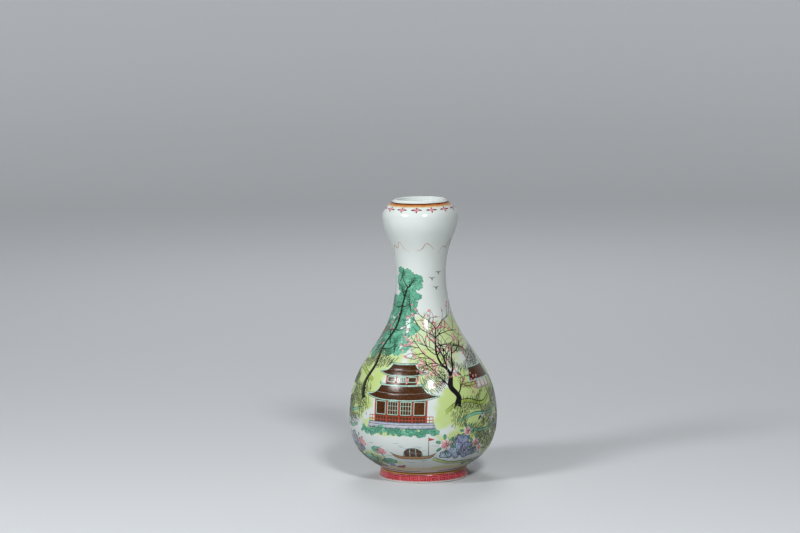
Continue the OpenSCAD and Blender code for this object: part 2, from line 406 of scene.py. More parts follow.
def mesh_shares(length):
    """Shares of a length for a patch's mesh: the edge at both ends, and even steps between."""
    edge = min(0.3, EDGE / length)
    return np.concatenate([[0], np.linspace(edge, 1 - edge, max(2, math.ceil(length / MESH) + 1)), [1]])


LAYERS, FIRST_SEED = [], 11


class Layer:
    """A coat of one paint, gathered stroke by stroke into one piece with a little relief.

    Its strokes have its own colour where no other is given. Layers are fired in the order of LAYERS.
    """

    def __init__(self, name, slot, lift, jitter=0.06, colour=None, material=enamel_material):
        self.name, self.slot, self.lift, self.jitter = name, slot, lift, jitter
        self.colour, self.material = colour, material
        self.places, self.faces, self.colours, self.count = [], [], [], 0
        self.rng = default_rng(FIRST_SEED + len(LAYERS))
        LAYERS.append(self)

    def add(self, place, points, lifts, faces, colours):
        """Adds a closed mesh. The first block of faces is on top, and shows which way round they go."""
        canvas = place(points)
        a, b, c = (canvas[faces[0][:, k]] for k in range(3))
        area = np.sum((b - a)[:, 0] * (c - a)[:, 1] - (b - a)[:, 1] * (c - a)[:, 0])
        level = self.lift + self.rng.uniform(0, 0.012)
        self.places.append(around(canvas[:, 0], *profile(canvas[:, 1], np.where(lifts > 0, level, lifts))))
        self.faces += [(block[:, ::-1] if area < 0 else block) + self.count for block in faces]
        shade = 1 + self.rng.normal(0, self.jitter)
        self.colours.append(np.broadcast_to(colours, (len(points), 3)) * shade)
        self.count += len(points)

    def stroke(self, place, points, width, colour=None, step=0.7):
        """A stroke through local points; width is one number or a list along it. Step 0 keeps corners."""
        line = spline(np.asarray(points, float), step) if step else np.asarray(points, float)
        ways = np.diff(line, axis=0)
        left = np.stack([-ways[:, 1], ways[:, 0]], 1) / np.linalg.norm(ways, axis=1)[:, None]
        side = (np.vstack([left[:1], left]) + np.vstack([left, left[-1:]])) / 2
        side /= np.maximum(np.sum(side * side, axis=1), 0.4)[:, None]
        n = len(line)
        widths = np.atleast_1d(width)
        half = np.interp(np.linspace(0, 1, n), np.linspace(0, 1, len(widths)), widths) / 2
        shares = np.array([-1, -0.72, 0.72, 1])
        points = (line + shares[:, None, None] * half[:, None] * side).reshape(-1, 2)
        lifts = np.repeat([SUNK, 1, 1, SUNK], n)
        index = np.arange(4 * n).reshape(4, n)
        ends = np.stack([index[:, 0], index[::-1, -1]])
        self.add(place, points, lifts, [quads(index), quads(index[[3, 0]]), ends],
                 self.colour if colour is None else colour)

    def strokes(self, place, *lines):
        """Strokes of the layer's own colour, each as (points, width)."""
        for points, width in lines:
            self.stroke(place, points, width)

    def blob(self, place, outline, colour, rim=None, fade=0.4):
        """A patch in an outline that can be seen whole from its middle. Its rim fades into its colour."""
        outline = np.asarray(outline, float)
        n, middle = len(outline), outline.mean(0)
        arms = outline - middle
        reach = np.linalg.norm(arms, axis=1).max()
        inner = 1 - min(0.3, EDGE / reach)
        rings = math.ceil(inner * reach / MESH)
        shares = np.concatenate([[1], inner * np.arange(rings, 0, -1) / rings])
        top = np.vstack([(middle + shares[:, None, None] * arms).reshape(-1, 2), [middle]])
        index = np.arange(len(top) - 1).reshape(-1, n)
        index = np.hstack([index, index[:, :1]])
        under = np.vstack([index[:1], index[1:] + len(top) - n])
        last = 2 * len(top) - n - 1
        fan = np.stack([index[-1, :-1], index[-1, 1:], np.full(n, len(top) - 1)], 1)
        fan_under = np.stack([under[-1, 1:], under[-1, :-1], np.full(n, last)], 1)
        lifts = np.concatenate([np.full(n, SUNK), np.ones(len(top) - n), np.full(len(top) - n, UNDER)])
        depth = np.append(np.repeat((1 - shares) / fade, n), 1)
        colours = mix(colour if rim is None else rim, colour, depth)
        self.add(place, np.vstack([top, top[n:]]), lifts,
                 [quads(index), fan, quads(under)[:, ::-1], fan_under], np.vstack([colours, colours[n:]]))

    def strip(self, place, first, second, colour, rim=None):
        """A patch between two edges that run the same way."""
        first, second = np.asarray(first, float), np.asarray(second, float)
        length = max(np.linalg.norm(np.diff(e, axis=0), axis=1).sum() for e in (first, second))
        along = mesh_shares(length)
        first, second = at_shares(first, along), at_shares(second, along)
        across = mesh_shares(np.linalg.norm(second - first, axis=1).max())
        grid = first + across[:, None, None] * (second - first)
        rows, columns = grid.shape[:2]
        index = np.arange(rows * columns).reshape(rows, columns)
        under = index.copy()
        under[1:-1, 1:-1] = rows * columns + np.arange((rows - 2) * (columns - 2)).reshape(rows - 2, -1)
        lifts = np.full((rows, columns), SUNK)
        lifts[1:-1, 1:-1] = 1
        colours = np.tile(colour if rim is None else rim, (rows, columns, 1))
        colours[2:-2, 2:-2] = colour
        inside = grid[1:-1, 1:-1].reshape(-1, 2)
        self.add(place, np.vstack([grid.reshape(-1, 2), inside]),
                 np.concatenate([lifts.ravel(), np.full(len(inside), UNDER)]),
                 [quads(index), quads(under)[:, ::-1]],
                 np.vstack([colours.reshape(-1, 3), colours[1:-1, 1:-1].reshape(-1, 3)]))

    def fire(self):
        faces = [face for block in self.faces for face in block.tolist()]
        places, colours = np.vstack(self.places), np.vstack(self.colours)
        make_piece(self.name, places, faces, colours, self.material)


foliage = Layer("turquoise_foliage", "white_glaze", 0.058, 0.09)
shade_green = Layer("foliage_shading", "white_glaze", 0.080, colour=TURQUOISE_DEEP)
brown = Layer("brown_panels", "brown_enamel", 0.045, material=brown_material)
lilac = Layer("lilac_rocks", "white_glaze", 0.050, 0.08)
stone = Layer("stonework", "white_glaze", 0.040)
rose = Layer("rose_flowers", "red_enamel", 0.075, 0.08)
red = Layer("iron_red_work", "red_enamel", 0.070, colour=IRON_RED)
white = Layer("white_enamel", "white_glaze", 0.060, 0.02)
frames = Layer("pale_turquoise_frames", "white_glaze", 0.080, 0.03, TURQUOISE_PALE)
yellow = Layer("yellow_dots", "ochre_enamel", 0.100)
lime = Layer("lime_enamel", "white_glaze", 0.050, 0.08)
ink_lines = Layer("ink_outlines", "brown_enamel", 0.090, colour=BLACK)
hatching = Layer("ground_hatching", "brown_enamel", 0.085)
branches = Layer("branches", "brown_enamel", 0.095, colour=BLACK)
ripples = Layer("water_lines", "white_glaze", 0.040)
florets = Layer("rim_florets", "red_enamel", 0.050)
fret = Layer("foot_fret", "gilding", 0.230, colour=FRET_GOLD, material=gilt_material)


def turned(x, y, u, v, heading):
    """Points (u, v) turned by a heading in degrees and moved to (x, y)."""
    c, s = cos_sin(heading)
    return np.stack([x + c * u - s * v, y + s * u + c * v], 1)


def ellipse(x, y, half_w, half_h, lean=0.0, points=20):
    t = even_turns(points)
    return turned(x, y, half_w * np.cos(t), half_h * np.sin(t), lean)


def petal(x, y, length, width, heading):
    """A leaf or petal that starts at a point, widest past its middle and pointed at both ends."""
    t = even_turns(14)
    u = length * (0.5 - 0.5 * np.cos(t))
    v = width / 2 * np.sin(t) * np.abs(np.sin(t / 2)) ** 0.6
    return turned(x, y, u, v, heading)


def scallop(x, y, size, rng, squash=0.8, lobes=7):
    """The outline of a tuft of leaves."""
    t = even_turns(lobes * 4)
    bumps = 0.78 + 0.22 * np.abs(np.sin(lobes * t / 2))
    reach = size * bumps * (1 + 0.12 * np.sin(t + rng.uniform(0, TAU)))
    spin = t + rng.uniform(0, TAU)
    return np.stack([x + reach * np.cos(spin), y + squash * reach * np.sin(spin)], 1)


def crag(x, y, half_w, half_h, rng):
    """The uneven outline of a rock."""
    t = even_turns(26)
    bumps = sum(rng.uniform(0.04, 0.11) * np.sin(k * t + rng.uniform(0, TAU)) for k in (2, 3, 5, 7))
    return np.stack([x + half_w * (1 + bumps) * np.cos(t), y + half_h * (1 + bumps) * np.sin(t)], 1)


def polar(x, y, heading, length):
    c, s = cos_sin(heading)
    return x + length * c, y + length * s


# Trees and flowers

def spray(place, x, y, heading, length, rng):
    """A dark twig with shorter ones on both sides."""
    tip = polar(x, y, heading + rng.uniform(-8, 8), length)
    branches.stroke(place, [(x, y), polar(x, y, heading, length / 2), tip], [1.0, 0.8, 0.3], TWIG)
    for share in np.linspace(0.25, 0.85, 5):
        start = polar(x, y, heading, share * length)
        for way in (-1, 1):
            end = polar(*start, heading + way * rng.uniform(24, 42), length * rng.uniform(0.22, 0.36))
            branches.stroke(place, [start, end], [0.7, 0.3], TWIG)


def leaf_mass(place, x, y, half_w, half_h, rng, tuft=4.2, twig=True):
    """A closed cloud of leafy tufts with flecks on them and a twig through it."""
    for _ in range(round(half_w * half_h / tuft ** 2 * 4) + 3):
        t, far = rng.uniform(0, TAU), math.sqrt(rng.random())
        cx, cy = x + far * half_w * math.cos(t), y + far * half_h * math.sin(t)
        size = tuft * rng.uniform(0.7, 1.1)
        colour = mix(TURQUOISE, TURQUOISE_LIGHT, rng.random() * 0.9)
        foliage.blob(place, scallop(cx, cy, size, rng), colour, mix(colour, TURQUOISE_DEEP, 0.45), 0.22)
        for _ in range(6):
            fleck = polar(cx, cy, rng.uniform(0, 360), size * rng.uniform(0.35, 0.95))
            shade_green.stroke(place, [fleck, polar(*fleck, rng.uniform(40, 140), 0.8)], [0.2, 0.45])
    if twig:
        heading = rng.uniform(50, 130)
        spray(place, *polar(x, y, heading + 180, half_h * 0.9), heading, half_h * 1.8, rng)


def bough(place, start, heading, length, width, rng, depth, tips):
    """A branch that bends as it grows and forks. The ends of its twigs go into tips."""
    line, way = [start], heading
    for _ in range(4):
        way += rng.uniform(-24, 24)
        line.append(polar(*line[-1], way, length / 4))
    branches.stroke(place, line, [width, width * 0.75, width * 0.4])
    if depth == 0:
        tips += line[2:]
        return
    for point in line[1:]:
        for turn in rng.permutation([-1, 1])[:rng.integers(1, 3)]:
            fork, share = way + turn * rng.uniform(25, 60), rng.uniform(0.45, 0.7)
            bough(place, point, fork, length * share, width * 0.5, rng, depth - 1, tips)


def leafy_tree(place, trunk, masses, seed):
    """A tree with a dark trunk and clouds of turquoise leaves."""
    rng = default_rng(seed)
    branches.stroke(place, trunk, [4.6, 3.2, 2.6, 1.4], BARK)
    for knot in at_shares(spline(np.array(trunk, float), 1.0), np.linspace(0.05, 0.8, 16)):
        knot = knot + rng.uniform(-0.7, 0.7, 2)
        stone.stroke(place, [knot, knot + (0.2, 1.2)], [0.2, 0.5, 0.2], GREY)
    for x, y, half_w, half_h in masses:
        nearest = min(trunk[1:], key=lambda p: math.hypot(p[0] - x, p[1] - y))
        middle = ((nearest[0] + x) / 2, (nearest[1] + y) / 2 - 1.5)
        branches.stroke(place, [nearest, middle, (x, y)], [1.2, 0.8, 0.4], BARK)
        leaf_mass(place, x, y, half_w, half_h, rng)


def blossom(place, x, y, size, rng):
    spin = rng.uniform(0, 72)
    for k in range(5):
        heading = spin + 72 * k
        outline = ellipse(*polar(x, y, heading, 0.5 * size), 0.46 * size, 0.38 * size, heading, 9)
        rose.blob(place, outline, mix(ROSE_PALE, ROSE, rng.random()), mix(ROSE_PALE, WHITE, 0.3))
    yellow.blob(place, ellipse(x, y, 0.22 * size, 0.22 * size, 0, 7), YELLOW)


def plum_tree(place, seed, boughs):
    """An old plum with a black trunk and fine twigs full of blossom."""
    rng = default_rng(seed)
    trunk = [(0, 0), (1.5, 6), (-2.5, 12), (-1, 19), (-5, 27)]
    branches.strokes(place, (trunk, [5.2, 3.4, 3.8, 2.6, 1.6]),
                     ([(-2.5, -1.5), (-0.5, 1.5), (0.6, 5)], [0.4, 1.6, 1.0]),
                     ([(3.4, -1.2), (1.2, 1.5), (1, 5)], [0.3, 1.6, 1.0]))
    for _ in range(26):
        x, y = at_shares(trunk, np.array([rng.uniform(0.02, 0.8)]))[0] + rng.uniform(-1.2, 1.2, 2)
        end = (x + rng.uniform(-0.3, 0.3), y + rng.uniform(0.7, 1.6))
        white.stroke(place, [(x, y), end], [0.15, 0.4, 0.15], GREY)
    tips = []
    forks, in_bloom = 2, 0.30
    for start, heading, length, width in boughs:
        bough(place, start, heading, length, width, rng, forks, tips)
    for x, y in tips:
        if rng.random() < in_bloom:
            blossom(place, x, y, rng.uniform(0.9, 1.35), rng)


def peony(place, x, y, size, rng):
    """A full flower in rose, paler outside, with leaves around it."""
    for heading in np.arange(0, 360, 60) + rng.uniform(0, 60):
        start = polar(x, y, heading, size * 0.6)
        foliage.blob(place, petal(*start, size * 1.25, size * 0.7, heading), TURQUOISE, TURQUOISE_DEEP)
        shade_green.stroke(place, [start, polar(*start, heading, size * 1.15)], [0.25, 0.1], OLIVE)
    for count, far, width, colour, rim in (
            (8, 0.62, 0.44, ROSE_PALE, WHITE), (7, 0.38, 0.36, ROSE, ROSE_PALE),
            (5, 0.17, 0.26, RUBY, ROSE)):
        for k in range(count):
            middle = polar(x, y, 360 * k / count + rng.uniform(-9, 9), far * size)
            rose.blob(place, scallop(*middle, width * size, rng, 1.0, 5), colour, rim, 0.5)
    yellow.blob(place, ellipse(x, y, 0.13 * size, 0.13 * size, 0, 8), YELLOW)


def lotus_bed(place, leaves, flowers, seed):
    """Round floating leaves with veins, and pointed rose flowers on stalks."""
    rng = default_rng(seed)
    for x, y, half_w in leaves:
        half_h = half_w * 0.5
        edge = ellipse(x, y, half_w, half_h, rng.uniform(-8, 8), 28)
        edge += 0.12 * half_h * np.sin(even_turns(28) * 7)[:, None] * (edge - (x, y)) / half_w
        foliage.blob(place, edge, mix(TURQUOISE, TURQUOISE_LIGHT, rng.random()), TURQUOISE_DEEP, 0.25)
        for i in range(0, 28, 3):
            shade_green.stroke(place, [(x, y), (x, y) + 0.9 * (edge[i] - (x, y))], [0.3, 0.12])
    for x, y, size in flowers:
        shade_green.stroke(place, [(x, y), (x + 0.5, y - 3), (x + 0.2, y - 6)], [0.5, 0.4, 0.3], OLIVE)
        for heading in (20, 160, 45, 135, 68, 112, 90):
            rose.blob(place, petal(x, y, size, size * 0.42, heading), ROSE_PALE, ROSE, 0.5)


def rockery(place, seed, flowers=()):
    """Blue and lilac rocks with dark contours and moss, and peonies beside them."""
    rng = default_rng(seed)
    for x, y, half_w, half_h in (
            (-4, 4, 5, 6.5), (4.5, 3, 5.5, 5), (0.5, 7.5, 4, 7), (9.5, 1.2, 4, 2.6), (-9, 1, 3.6, 2.4)):
        edge = crag(x, y, half_w, half_h, rng)
        lilac.blob(place, edge, mix(LILAC, TURQUOISE_PALE, rng.random() * 0.7), BLUE, 0.3)
        ink_lines.stroke(place, np.vstack([edge, edge[:1]]), 0.38)
        for _ in range(9):
            start = (x + rng.uniform(-0.6, 0.6) * half_w, y + rng.uniform(-0.6, 0.5) * half_h)
            bend = polar(*start, rng.uniform(60, 110), rng.uniform(1.0, 2.2))
            tip = polar(*bend, rng.uniform(10, 60), 0.8)
            ink_lines.stroke(place, [start, bend, tip], [0.35, 0.25, 0.1], BLUE_DARK)
        for _ in range(5):
            dot = polar(x, y, rng.uniform(20, 160), half_h * rng.uniform(0.5, 0.95))
            branches.blob(place, ellipse(*dot, 0.42, 0.32, 0, 7), OLIVE)
    for x, y, size in flowers:
        peony(place, x, y, size, rng)


def bamboo(place, stalks, seed):
    """Jointed stalks with bunches of narrow leaves."""
    rng = default_rng(seed)
    for x, height, lean in stalks:
        y, foot = 0.0, x
        while y < height:
            step = rng.uniform(4.5, 6)
            lime.stroke(place, [(foot, y), (foot + lean * step, y + step - 0.35)], [1.0, 0.8, 1.0], STALK)
            ring = [(foot - 0.6, y - 0.15), (foot + 0.6, y - 0.15)]
            ink_lines.stroke(place, ring, [0.15, 0.3, 0.15], OLIVE)
            if y > 0.35 * height:
                for heading in rng.uniform(-75, 30, 4) + (0 if rng.random() < 0.5 else 200):
                    start = polar(foot, y, heading, 1.0)
                    leaf = petal(*start, rng.uniform(4, 6), 1.0, heading)
                    foliage.blob(place, leaf, TURQUOISE, TURQUOISE_DEEP)
            foot, y = foot + lean * step, y + step


# Buildings, boats and birds

def lattice(place, left, low, right, high, columns, rows):
    """A grid of thin bars in a frame of bars twice as wide."""
    bar = 0.3
    for x in np.linspace(left, right, columns + 1):
        frames.stroke(place, [(x, low), (x, high)], bar if left < x < right else 2 * bar)
    for y in np.linspace(low, high, rows + 1):
        frames.stroke(place, [(left, y), (right, y)], bar if low < y < high else 2 * bar)


def roof(place, low, high, eave, ridge):
    """A tiled roof with upturned corners, between the heights of its eave and its ridge."""
    u = np.linspace(-1, 1, 33)
    waist = ridge + 0.32 * (eave - ridge)
    lines = [np.stack([reach * u, level + lift * np.abs(u) ** 3.2], 1) for reach, level, lift in
             ((eave, low, 3.0), (waist, low + 0.45 * (high - low), 0.9), (ridge, high, 0.5))]
    for first, second in zip(lines, lines[1:]):
        brown.strip(place, first, second, BROWN)
    for k in range(1, 32):
        tiles = [line[k] for line in lines]
        ink_lines.stroke(place, tiles, 0.26, BROWN_DARK)
    frames.strokes(place, (lines[0], [0.5, 0.95, 0.95, 0.5]), (lines[2], 1.3))
    ink_lines.strokes(place, (lines[0] - (0, 0.55), 0.28), (lines[2] + (0, 0.75), 0.28))
    for way in (0, -1):
        hip = [line[way] for line in lines]
        frames.stroke(place, hip, [0.9, 0.8, 0.8])
        tip = lines[2][way]
        curl = [tip, tip + (np.sign(tip[0]) * 1.2, 0.9), tip + (np.sign(tip[0]) * 0.9, 2.2)]
        frames.stroke(place, curl, [1.2, 0.9, 0.3], TURQUOISE)


def storey(place, half_w, low, high, posts):
    """Mottled wall panels between red posts, with lattice windows."""
    edges = np.linspace(-half_w, half_w, posts)
    for k, (left, right) in enumerate(zip(edges, edges[1:])):
        brown.strip(place, [(left, low), (right, low)], [(left, high), (right, high)], BROWN)
        bars = (4, 3) if 0 < k < posts - 2 else (1, 1)
        lattice(place, left + 0.9, low + 0.35 * (high - low), right - 0.9, high - 0.8, *bars)
    for x in edges:
        red.stroke(place, [(x, low - 0.3), (x, high)], 1.1)
        ink_lines.stroke(place, [(x + 0.6, low - 0.3), (x + 0.6, high)], 0.2)


def pavilion(place):
    """A two-storey waterside pavilion with a railed terrace."""
    stone.strip(place, [(-24, -4), (24, -4)], [(-22.5, 0), (22.5, 0)], mix(WHITE, LILAC, 0.35), LILAC)
    for y, half in ((0, 22.5), (-1.6, 23.1), (-4, 24)):
        ink_lines.stroke(place, [(-half, y), (half, y)], 0.35)
    for x in np.arange(-21, 22, 6.0):
        ink_lines.stroke(place, [(x, -1.6), (x * 1.03, -4)], 0.25, GREY)
    storey(place, 17.5, 0, 14, 5)
    for y in (1.6, 3.8):
        red.stroke(place, [(-22, y), (22, y)], 0.5)
    for x in np.arange(-22, 22.1, 2.2):
        red.stroke(place, [(x, 0), (x, 3.8)], 0.4)
    roof(place, 14, 23.5, 26, 14)
    storey(place, 10.5, 23.8, 30, 4)
    roof(place, 30, 38, 17, 7.5)


def hut(place):
    """A farm hut with a broad mottled roof and a woven screen beside it."""
    white.strip(place, [(-8, 0), (8, 0)], [(-8, 7), (8, 7)], WHITE, GREY)
    brown.strip(place, [(-2.4, 0), (2.4, 0)], [(-2.4, 5.6), (2.4, 5.6)], BROWN_LIGHT)
    for x in (-8, -2.4, 2.4, 8):
        red.stroke(place, [(x, 0), (x, 7)], 0.8)
    eave, ridge = ((-13, 5.6), (13, 6.4)), ((-8.5, 15), (9.5, 15.6))
    brown.strip(place, eave, ridge, BROWN)
    for edge in (eave, ridge, *zip(eave, ridge)):
        frames.stroke(place, edge, 0.9)
    brown.strip(place, [(14, -1), (26, 1)], [(14, 6.5), (26, 8.5)], BROWN)
    for x in (14, 20, 26):
        frames.stroke(place, [(x, -1.6 + (x - 14) / 6), (x, 7.2 + (x - 14) / 6)], 0.9)
    frames.stroke(place, [(14, 6.5), (26, 8.5)], 0.8)


def boat(place):
    """A flat boat with a mat awning, moored among ripples."""
    x = np.linspace(-14, 14, 25)
    gunwale = np.stack([x, 2.2 + 2.6 * (x / 14) ** 4], 1)
    keel = np.stack([0.86 * x, 0.2 + 2.2 * (x / 14) ** 4], 1)
    stone.strip(place, keel, gunwale, OCHRE_PALE, OCHRE)
    ink_lines.strokes(place, (keel, 0.4), (gunwale, 0.4))
    ink_lines.stroke(place, (gunwale + keel) / 2, 0.22, BROWN)
    arch = np.linspace(math.pi, 0, 17)
    top = np.stack([5.6 * np.cos(arch), 2.4 + 5.4 * np.sin(arch) ** 0.7], 1)
    brown.strip(place, np.stack([np.linspace(-5.6, 5.6, 17), np.full(17, 2.3)], 1), top + (0, 0.1), BROWN)
    for x in (-5.4, -1.8, 1.8, 5.4):
        rise = 2.4 + 5.4 * max(0.05, 1 - (x / 5.6) ** 2) ** 0.35
        frames.stroke(place, [(x, 2.2), (x * 0.98, rise)], 0.45)
    ink_lines.stroke(place, top + (0, 0.2), 0.4)
    branches.stroke(place, [(9, 2.5), (9.6, 9), (9.9, 15)], [0.5, 0.4, 0.25], BROWN_DARK)
    red.blob(place, [(9.9, 14.6), (9.8, 12.6), (11.4, 12.9), (13.6, 13.4), (12.2, 14.0)], IRON_RED)


def crane(place):
    """A white crane with black tail and red crown."""
    white.blob(place, ellipse(0, 5.6, 2.9, 1.6, 18), WHITE, GREY, 0.3)
    white.stroke(place, [(2.0, 6.4), (3.4, 8.0), (2.7, 9.8), (3.5, 11.2)], [1.3, 0.8, 0.7, 0.8], WHITE)
    for k in range(4):
        plume = [(-1.6, 5.6 - 0.2 * k), (-3.4, 4.9 - 0.4 * k), (-4.3, 3.6 - 0.3 * k)]
        ink_lines.stroke(place, plume, [0.5, 0.7, 0.2])
    ink_lines.stroke(place, [(3.2, 8.3), (2.9, 9.6)], [0.3, 0.5, 0.2])
    for x in (-0.4, 0.7):
        ink_lines.stroke(place, [(x, 4.3), (x + 0.3, 2.2), (x - 0.2, 0)], 0.3)
    red.blob(place, ellipse(3.5, 11.5, 0.5, 0.4, 0, 8), IRON_RED)
    ink_lines.stroke(place, [(3.8, 11.1), (5.6, 10.6)], [0.4, 0.12])


def duck(place, coat, back, head):
    """A mandarin duck on the water."""
    coat.blob(place, petal(-3, 0.9, 6.0, 2.9, 8), back, BLUE)
    white.blob(place, ellipse(1.9, 1.2, 1.0, 0.9, 0, 10), WHITE)
    coat.blob(place, ellipse(2.4, 2.7, 1.0, 0.85, 0, 10), head)
    ink_lines.strokes(place, ([(3.3, 2.7), (4.2, 2.5)], [0.4, 0.15]),
                      ([(-3, 0.9), (-1.2, 0.0), (1.2, 0.0), (2.6, 0.8)], 0.3),
                      ([(-3.2, 1.1), (-1, 2.1), (1.2, 1.7)], [0.2, 0.5, 0.2]))


def swallow(place):
    for way in (-1, 1):
        ink_lines.strokes(place, ([(0, 0), (way * 1.4, 1.0), (way * 3.0, 0.7)], [0.7, 0.5, 0.15]),
                          ([(0, 0.2), (way * 0.5, -1.6)], [0.6, 0.15]))


# Ground and water

def hatch(place, half_w, half_h, lean, seed, gap=0.15):
    """Rows of short grass strokes in an oval, thinned where a smooth field is low."""
    rng = default_rng(seed)
    row_step, stroke_step, length = 1.7, 1.1, 3.5
    for y in np.arange(-half_h, half_h, row_step):
        for x in np.arange(-half_w, half_w, stroke_step):
            bare = (math.sin(0.21 * x + 0.6 * seed) * math.sin(0.27 * y + 1.7 * seed)
                    - 0.4 * math.sin(0.1 * x - 0.13 * y))
            if math.hypot(x / half_w, y / half_h) + rng.uniform(0, 0.25) > 1.1 or bare > gap:
                continue
            start = (x + rng.uniform(-0.4, 0.4), y + rng.uniform(-0.5, 0.5))
            way = lean + 12 * math.sin(0.12 * x) + rng.uniform(-9, 9)
            far = length * rng.uniform(0.6, 1.15)
            line = [start, polar(*start, way + 7, far / 2), polar(*start, way, far)]
            colour = mix(OLIVE, BLACK, rng.random() * 0.7)
            hatching.stroke(place, line, [0.46, 0.42, 0.16], colour, step=1.2)


def contour(place, points, width, fill=None, depth=2.6):
    """A ground line in dark ink, with a band of colour under it."""
    line = spline(np.asarray(points, float), 1.2)
    if fill is not None:
        lime.strip(place, line - (0, depth), line - (0, 0.2), fill)
        ink_lines.stroke(place, line - (0, depth + 0.1), [0.15, 0.45, 0.15], OLIVE, step=0)
    ink_lines.stroke(place, line, [width * 0.4, width, width * 0.8, width * 0.3], INK_GREEN, step=0)


def water(place, half_w, half_h, count, seed):
    """Short wavy lines on open water."""
    rng = default_rng(seed)
    for _ in range(count):
        x, y, length = rng.uniform(-half_w, half_w), rng.uniform(-half_h, half_h), rng.uniform(3, 8)
        line = [(x + length * t, y + 0.25 * math.sin(9 * t + x)) for t in np.linspace(0, 1, 6)]
        ripples.stroke(place, line, [0.12, 0.4, 0.12], mix(LILAC, TURQUOISE, rng.random()))


def fence(place, length, height):
    for x in np.arange(0, length, 1.5):
        branches.stroke(place, [(x, 0), (x + 0.3, height)], 0.42, BROWN_LIGHT)
    for y in (0.3 * height, 0.75 * height):
        branches.stroke(place, [(-0.5, y), (length, y + 0.3)], 0.42, BROWN)


def bridge(place):
    """A humped footbridge with a red rail."""
    x = np.linspace(-20, 20, 31)
    deck, arch = 7 * np.cos(x / 20 * 1.35), 4.4 * np.cos(x / 20 * 1.5)
    stone.strip(place, np.stack([x, arch], 1), np.stack([x, deck], 1), mix(WHITE, LILAC, 0.5), LILAC)
    for y in (arch, deck):
        ink_lines.stroke(place, np.stack([x, y], 1), 0.4)
    for lift in (1.6, 3.0):
        red.stroke(place, np.stack([x, deck + lift], 1), 0.45)
    for k in range(0, 31, 2):
        red.stroke(place, [(x[k], deck[k]), (x[k], deck[k] + 3.2)], 0.4)


# The painted garden, placed by angle in degrees from the front and height in mm

# Each hatched bank: angle, height, half width, half height, lean in degrees, seed, level of bare ground
BANKS = [
    (64, 50, 40, 18, 62, 36, 0.4), (46, 30, 28, 9, 118, 37), (50, 92, 20, 12, 70, 51, 0.3),
    (-82, 62, 32, 20, 118, 39, 0.4), (-60, 92, 22, 9, 64, 54, 0.3), (8, 78, 15, 9, 118, 55, 0.3),
    (-64, 13, 17, 4, 72, 56, 0.6), (62, 14, 17, 4, 112, 57, 0.6), (-68, 18, 26, 6, 70, 52),
    (228, 52, 36, 15, 62, 49), (116, 58, 30, 16, 118, 50),
]


def far_hills():
    """Pale red ridges on the upper neck."""
    for angle, height, ridge in (
            (-52, 166, [(-9, 0), (-5, 4), (-2, 9), (0, 7), (4, 12), (8, 6), (11, 5)]),
            (14, 171, [(-8, 0), (-4, 2), (-1, 6), (1, 5), (5, 1)]),
            (64, 166, [(-9, 2), (-5, 8), (-3, 7), (1, 13), (4, 9), (9, 3)]),
            (150, 168, [(-11, 0), (-6, 7), (-4, 6), (1, 12), (6, 5), (10, 3)]),
            (228, 170, [(-8, 1), (-3, 8), (0, 6), (4, 9), (9, 1)])):
        red.stroke(Spot(angle, height), ridge, [0.2, 0.7, 0.5, 0.2], RIDGE_RED)


def shrubs(angle, height, seed):
    """A hedge of small turquoise bushes."""
    count, step = 8, 8.0
    rng = default_rng(seed)
    for k in range(count):
        x = (k - (count - 1) / 2) * step
        leaf_mass(Spot(angle, height), x, rng.uniform(-1, 1), 4.2, 2.4, rng, 2.2, False)


